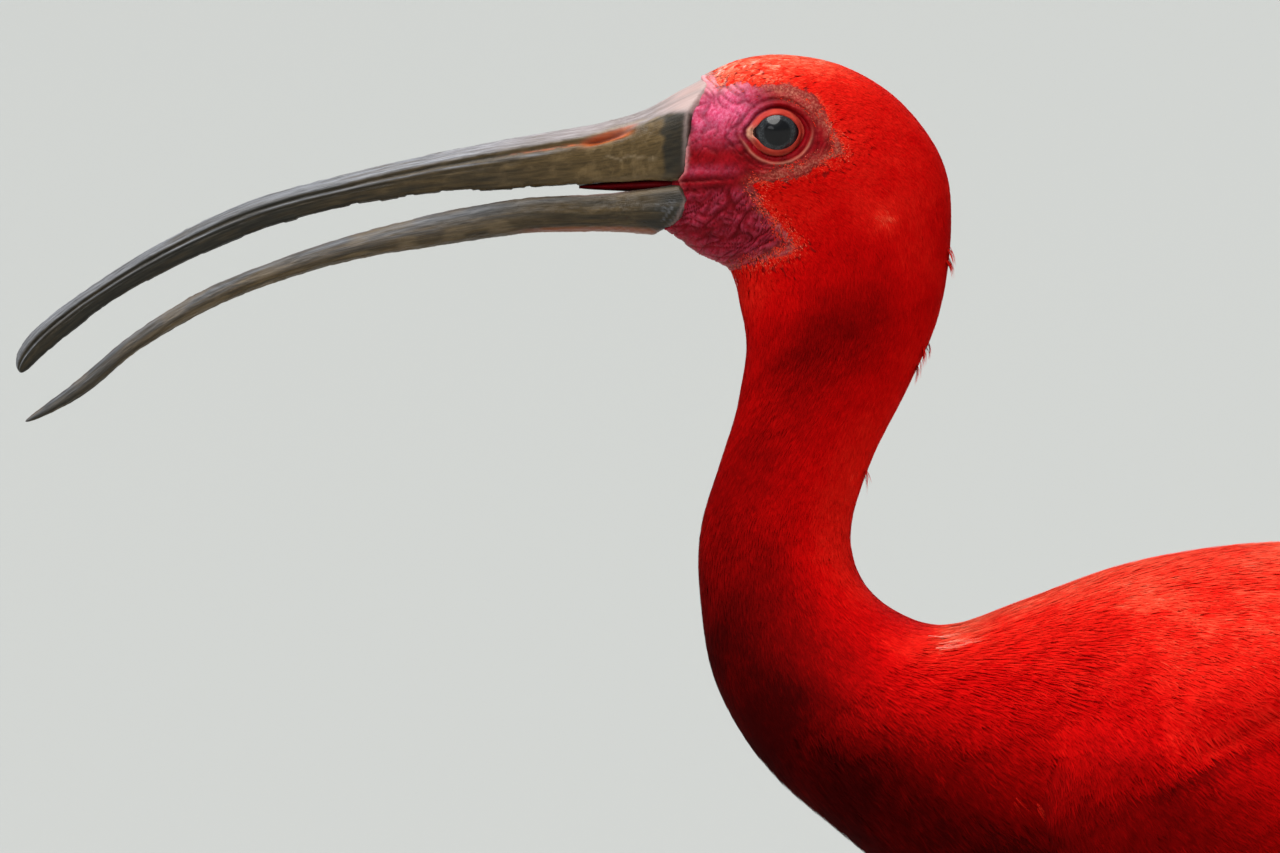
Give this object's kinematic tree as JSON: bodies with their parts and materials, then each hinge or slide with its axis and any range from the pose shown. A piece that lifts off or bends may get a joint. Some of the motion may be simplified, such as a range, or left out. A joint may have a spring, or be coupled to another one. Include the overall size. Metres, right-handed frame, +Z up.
{
  "type": "scarlet ibis",
  "caption": "Standing wading bird, life size and still, with a long down-curved bill a little open, an S-shaped neck, folded wings and long bare legs.",
  "frame": {"origin": "on the floor under the middle of the bounding box", "axes": "+Z up, bill towards -X, tail towards +X, the bird's left side towards -Y"},
  "size_m": [0.4901, 0.112, 0.3794],
  "materials": {
    "plumage": "soft matte feathers, orange scarlet on crown and back and deep red in shade",
    "flight_feathers": "smooth matte vanes, scarlet with black tips on the outermost primaries",
    "bare_skin": "wrinkled bare skin, crimson to pink",
    "bill_horn": "dark grey-brown horn, satin, flaking a little",
    "claw_horn": "dark horn, satin",
    "eye": "wet gloss, dark iris and black pupil"
  },
  "bodies": {
    "root": {"head": "plumage", "bill_upper": "bill_horn", "bill_lower": "bill_horn", "neck_upper": "plumage", "neck_lower": "plumage", "torso": "plumage", "tail": "flight_feathers", "eye_left": "eye", "wing_left": "flight_feathers", "thigh_left": "plumage", "shank_left": "bare_skin", "tarsus_left": "bare_skin", "foot_left": "bare_skin", "toe_inner_left": "bare_skin", "claw_inner_left": "claw_horn", "toe_middle_left": "bare_skin", "claw_middle_left": "claw_horn", "toe_outer_left": "bare_skin", "claw_outer_left": "claw_horn", "toe_hind_left": "bare_skin", "claw_hind_left": "claw_horn", "eye_right": "eye", "wing_right": "flight_feathers", "thigh_right": "plumage", "shank_right": "bare_skin", "tarsus_right": "bare_skin", "foot_right": "bare_skin", "toe_inner_right": "bare_skin", "claw_inner_right": "claw_horn", "toe_middle_right": "bare_skin", "claw_middle_right": "claw_horn", "toe_outer_right": "bare_skin", "claw_outer_right": "claw_horn", "toe_hind_right": "bare_skin", "claw_hind_right": "claw_horn"}
  },
  "joints": []
}
